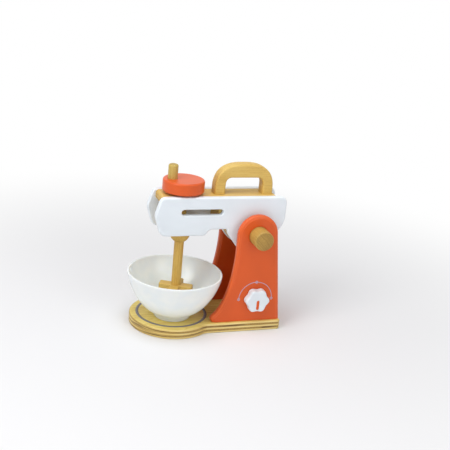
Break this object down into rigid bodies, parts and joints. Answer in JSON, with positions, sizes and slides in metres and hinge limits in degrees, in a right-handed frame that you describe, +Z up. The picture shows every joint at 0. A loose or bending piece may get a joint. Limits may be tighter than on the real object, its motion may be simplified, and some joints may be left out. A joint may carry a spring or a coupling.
{
  "type": "toy mixer",
  "caption": "Wooden toy stand mixer: tilting head on a thick dowel, hand-cranked beater, loose bowl, carrying handle and turning knob on a plywood base.",
  "frame": {"origin": "middle of the base board's underside, on the surface that the toy stands on", "axes": "+Z up; +X from the bowl towards the stand; -Y to the side with the knob"},
  "size_m": [0.2265, 0.1475, 0.2434],
  "materials": {
    "beech": "sanded, clear water-based varnish",
    "birch_plywood": "sanded plywood, clear varnish, layers showing at the edge",
    "red_lacquer": "satin orange-red lacquer on wood",
    "white_lacquer": "satin white lacquer on wood",
    "white_bowl": "glossy white melamine",
    "grey_felt": "pressed wool felt",
    "zinc_steel": "yellow-passivated zinc"
  },
  "bodies": {
    "stand": {"base_board": "birch_plywood", "stand_panel_near": "red_lacquer", "stand_panel_far": "red_lacquer", "stand_back_board": "red_lacquer", "stand_screw_near_1": "zinc_steel", "stand_screw_near_2": "zinc_steel", "stand_screw_near_3": "zinc_steel", "stand_screw_far_1": "zinc_steel", "stand_screw_far_2": "zinc_steel", "stand_screw_far_3": "zinc_steel", "back_board_screw_1": "zinc_steel", "back_board_screw_2": "zinc_steel", "back_board_pin_near_1": "beech", "back_board_pin_near_2": "beech", "back_board_pin_far_1": "beech", "back_board_pin_far_2": "beech"},
    "head": {"head_panel_near": "white_lacquer", "head_panel_far": "white_lacquer", "top_plank": "beech", "bearing_block": "beech", "head_core": "beech", "pivot_dowel": "beech", "pivot_spacer_near": "beech", "pivot_spacer_far": "beech", "carry_handle": "beech", "felt_washer": "grey_felt", "plank_pin_near_1": "beech", "plank_pin_near_2": "beech", "plank_pin_far_1": "beech", "plank_pin_far_2": "beech", "bearing_pin_near_1": "beech", "bearing_pin_near_2": "beech", "bearing_pin_far_1": "beech", "bearing_pin_far_2": "beech", "core_pin_near_1": "beech", "core_pin_near_2": "beech", "core_pin_far_1": "beech", "core_pin_far_2": "beech", "handle_screw_1": "zinc_steel", "handle_screw_2": "zinc_steel"},
    "beater": {"crank_disc": "red_lacquer", "crank_peg": "beech", "beater_shaft": "beech", "shaft_collar": "beech", "beater_paddle": "beech"},
    "bowl": {"bowl": "white_bowl"},
    "knob": {"speed_knob": "white_lacquer", "knob_pointer": "red_lacquer", "knob_axle": "beech", "knob_cap": "beech"}
  },
  "joints": [
    {"name": "head_tilt", "type": "hinge", "parent": "stand", "child": "head", "pos_m": [0.0615, 0, 0.1475], "axis": [0, 1, 0], "range_deg": [0, 50]},
    {"name": "beater_spin", "type": "hinge", "parent": "head", "child": "beater", "pos_m": [-0.043, 0, 0.13], "axis": [0, 0, 1], "continuous": true},
    {"name": "knob_turn", "type": "hinge", "parent": "stand", "child": "knob", "pos_m": [0.066, -0.045, 0.0503], "axis": [0, -1, 0], "continuous": true},
    {"name": "bowl_lift", "type": "slide", "parent": "stand", "child": "bowl", "axis": [0, 0, 1], "range_m": [0, 0.012]}
  ]
}
